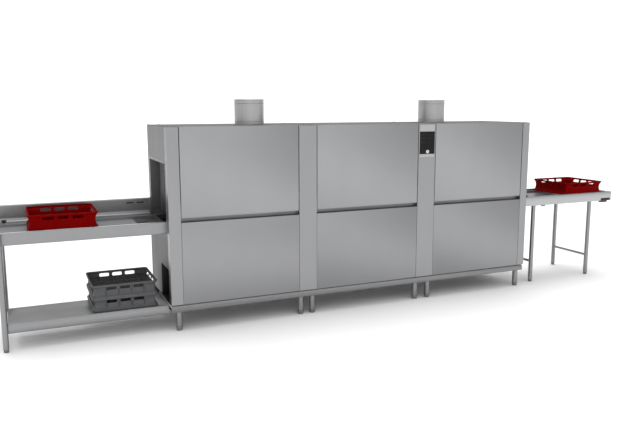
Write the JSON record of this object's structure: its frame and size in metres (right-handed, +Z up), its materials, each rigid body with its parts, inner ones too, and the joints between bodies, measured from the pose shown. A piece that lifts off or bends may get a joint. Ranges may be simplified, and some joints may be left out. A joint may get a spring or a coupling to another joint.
{
  "type": "rack conveyor dishwasher",
  "caption": "Rack-conveyor dishwasher: wash tunnel with lifting doors and exhaust spigots, loading table with undershelf, discharge table and dish racks.",
  "frame": {"origin": "centre of the footprint, on the floor", "axes": "+X along the rack lane from the loading end to the discharge end, +Y from the front towards the back, +Z up"},
  "size_m": [5.96, 0.8, 1.833],
  "materials": {
    "outer_steel": "fine satin brushed stainless sheet",
    "duct_steel": "rolled stainless tube, brushed up and down",
    "inner_steel": "mill finish stainless, water marked",
    "motor_paint": "matt enamel",
    "weight_iron": "rough cast",
    "black_plastic": "matt moulded",
    "curtain_rubber": "smooth rubber sheet",
    "display_glass": "polished black cover",
    "button_steel": "bright machined",
    "red_plastic": "moulded polypropylene, light grain",
    "grey_plastic": "moulded polypropylene, light grain"
  },
  "bodies": {
    "frame": {"base_frame": "inner_steel", "machine_legs": "outer_steel", "levelling_feet": "black_plastic", "corner_posts": "outer_steel", "column_1": "outer_steel", "column_2": "outer_steel", "lower_panels": "outer_steel", "roof_and_rear_panels": "outer_steel", "entry_end_panel": "outer_steel", "exit_end_panel": "outer_steel", "chamber_front": "inner_steel", "chamber_shell": "inner_steel", "wash_tanks": "inner_steel", "tank_strainers": "inner_steel", "pump_bodies": "motor_paint", "wash_pipes": "inner_steel", "rinse_system": "inner_steel", "electrical_box": "inner_steel", "rack_rails": "inner_steel", "gearmotor": "motor_paint", "blower_housing": "inner_steel", "exhaust_spigots": "duct_steel", "lift_ropes_1": "inner_steel", "lift_ropes_2": "inner_steel", "lift_ropes_3": "inner_steel", "control_panel": "outer_steel", "display_glass": "display_glass", "entry_table_top": "outer_steel", "entry_splashback": "outer_steel", "entry_shelf": "outer_steel", "table_legs": "outer_steel", "exit_table_top": "outer_steel", "limit_switch": "black_plastic", "service_connections": "inner_steel"},
    "door_1": {"door_1": "outer_steel"},
    "lift_shaft_1": {"lift_shaft_1": "inner_steel"},
    "counterweights_1": {"counterweights_1": "weight_iron"},
    "impeller_1": {"impeller_1": "black_plastic"},
    "door_2": {"door_2": "outer_steel"},
    "lift_shaft_2": {"lift_shaft_2": "inner_steel"},
    "counterweights_2": {"counterweights_2": "weight_iron"},
    "impeller_2": {"impeller_2": "black_plastic"},
    "door_3": {"door_3": "outer_steel"},
    "lift_shaft_3": {"lift_shaft_3": "inner_steel"},
    "counterweights_3": {"counterweights_3": "weight_iron"},
    "impeller_3": {"impeller_3": "black_plastic"},
    "start_button": {"start_button": "button_steel"},
    "pawl_bar": {"pawl_bar": "inner_steel"},
    "rack_pawl": {"rack_pawl": "inner_steel"},
    "drive_crank": {"drive_crank": "inner_steel"},
    "connecting_rod": {"connecting_rod": "inner_steel"},
    "blower_fan": {"blower_fan": "inner_steel"},
    "entry_curtain": {"entry_curtain": "curtain_rubber"},
    "exit_curtain": {"exit_curtain": "curtain_rubber"},
    "damper_1": {"damper_1": "inner_steel"},
    "damper_2": {"damper_2": "inner_steel"},
    "stop_lever": {"stop_lever": "inner_steel"},
    "entry_rack": {"entry_rack": "red_plastic"},
    "exit_rack": {"exit_rack": "red_plastic"},
    "shelf_rack_lower": {"shelf_rack_lower": "grey_plastic"},
    "shelf_rack_upper": {"shelf_rack_upper": "grey_plastic"}
  },
  "joints": [
    {"name": "door_1_lift", "type": "slide", "parent": "frame", "child": "door_1", "axis": [0, 0, 1], "range_m": [0, 0.48], "deforming": ["lift_ropes_1"]},
    {"name": "lift_shaft_1_spin", "type": "hinge", "parent": "frame", "child": "lift_shaft_1", "pos_m": [-1.137, -0.367, 1.575], "axis": [1, 0, 0], "range_deg": [-1320, 0]},
    {"name": "counterweights_1_drop", "type": "slide", "parent": "frame", "child": "counterweights_1", "axis": [0, 0, -1], "range_m": [0, 0.48]},
    {"name": "impeller_1_spin", "type": "hinge", "parent": "frame", "child": "impeller_1", "pos_m": [-1.297, 0.195, 0.36], "axis": [0, 1, 0], "continuous": true},
    {"name": "door_2_lift", "type": "slide", "parent": "frame", "child": "door_2", "axis": [0, 0, 1], "range_m": [0, 0.48], "deforming": ["lift_ropes_2"]},
    {"name": "lift_shaft_2_spin", "type": "hinge", "parent": "frame", "child": "lift_shaft_2", "pos_m": [0.019, -0.367, 1.575], "axis": [1, 0, 0], "range_deg": [-1320, 0]},
    {"name": "counterweights_2_drop", "type": "slide", "parent": "frame", "child": "counterweights_2", "axis": [0, 0, -1], "range_m": [0, 0.48]},
    {"name": "impeller_2_spin", "type": "hinge", "parent": "frame", "child": "impeller_2", "pos_m": [-0.13033, 0.195, 0.36], "axis": [0, 1, 0], "continuous": true},
    {"name": "door_3_lift", "type": "slide", "parent": "frame", "child": "door_3", "axis": [0, 0, 1], "range_m": [0, 0.48], "deforming": ["lift_ropes_3"]},
    {"name": "lift_shaft_3_spin", "type": "hinge", "parent": "frame", "child": "lift_shaft_3", "pos_m": [1.193, -0.367, 1.575], "axis": [1, 0, 0], "range_deg": [-1320, 0]},
    {"name": "counterweights_3_drop", "type": "slide", "parent": "frame", "child": "counterweights_3", "axis": [0, 0, -1], "range_m": [0, 0.48]},
    {"name": "impeller_3_spin", "type": "hinge", "parent": "frame", "child": "impeller_3", "pos_m": [1.03633, 0.195, 0.36], "axis": [0, 1, 0], "continuous": true},
    {"name": "start_button_press", "type": "slide", "parent": "frame", "child": "start_button", "axis": [0, 1, 0], "range_m": [0, 0.0025], "stiffness_N_per_m": 400, "springref_m": -0.001},
    {"name": "pawl_bar_stroke", "type": "slide", "parent": "frame", "child": "pawl_bar", "axis": [-1, 0, 0], "range_m": [0, 0.144]},
    {"name": "rack_pawl_tilt", "type": "hinge", "parent": "pawl_bar", "child": "rack_pawl", "pos_m": [-1.31, -0.044, 0.849], "axis": [0, 1, 0], "range_deg": [-18, 0], "stiffness_Nm_per_rad": 0.6, "springref_deg": 11.46},
    {"name": "drive_crank_spin", "type": "hinge", "parent": "frame", "child": "drive_crank", "pos_m": [-0.56333, -0.044, 0.768], "axis": [0, 0, 1], "continuous": true},
    {"name": "connecting_rod_turn", "type": "hinge", "parent": "drive_crank", "child": "connecting_rod", "pos_m": [-0.56333, -0.116, 0.7763], "axis": [0, 0, 1], "continuous": true},
    {"name": "blower_fan_spin", "type": "hinge", "parent": "frame", "child": "blower_fan", "pos_m": [1.48333, -0.04, 0.37], "axis": [0, 1, 0], "continuous": true},
    {"name": "entry_curtain_swing", "type": "hinge", "parent": "frame", "child": "entry_curtain", "pos_m": [-1.67, -0.044, 1.359], "axis": [0, 1, 0], "range_deg": [-60, 40]},
    {"name": "exit_curtain_swing", "type": "hinge", "parent": "frame", "child": "exit_curtain", "pos_m": [1.71, -0.044, 1.359], "axis": [0, 1, 0], "range_deg": [-60, 40]},
    {"name": "damper_1_turn", "type": "hinge", "parent": "frame", "child": "damper_1", "pos_m": [-0.935, 0, 1.71], "axis": [1, 0, 0], "range_deg": [0, 90]},
    {"name": "damper_2_turn", "type": "hinge", "parent": "frame", "child": "damper_2", "pos_m": [0.903, 0, 1.71], "axis": [1, 0, 0], "range_deg": [0, 90]},
    {"name": "stop_lever_tilt", "type": "hinge", "parent": "frame", "child": "stop_lever", "pos_m": [2.93, -0.044, 0.833], "axis": [0, 1, 0], "range_deg": [0, 22], "stiffness_Nm_per_rad": 2, "springref_deg": -11.46},
    {"name": "entry_rack_travel", "type": "slide", "parent": "frame", "child": "entry_rack", "axis": [1, 0, 0], "range_m": [0, 0.45]},
    {"name": "exit_rack_travel", "type": "slide", "parent": "frame", "child": "exit_rack", "axis": [-1, 0, 0], "range_m": [0, 0.5]},
    {"name": "shelf_rack_lower_travel", "type": "slide", "parent": "frame", "child": "shelf_rack_lower", "axis": [-1, 0, 0], "range_m": [0, 0.5]},
    {"name": "shelf_rack_upper_lift", "type": "slide", "parent": "shelf_rack_lower", "child": "shelf_rack_upper", "axis": [0, 0, 1], "range_m": [0, 0.25]}
  ],
  "couplings": [
    {"joint": "lift_shaft_1_spin", "follows": "door_1_lift", "rad_per_m": -47.619},
    {"joint": "counterweights_1_drop", "follows": "door_1_lift", "ratio": 1},
    {"joint": "lift_shaft_2_spin", "follows": "door_2_lift", "rad_per_m": -47.619},
    {"joint": "counterweights_2_drop", "follows": "door_2_lift", "ratio": 1},
    {"joint": "lift_shaft_3_spin", "follows": "door_3_lift", "rad_per_m": -47.619},
    {"joint": "counterweights_3_drop", "follows": "door_3_lift", "ratio": 1},
    {"joint": "connecting_rod_turn", "follows": "drive_crank_spin", "ratio": -1}
  ]
}
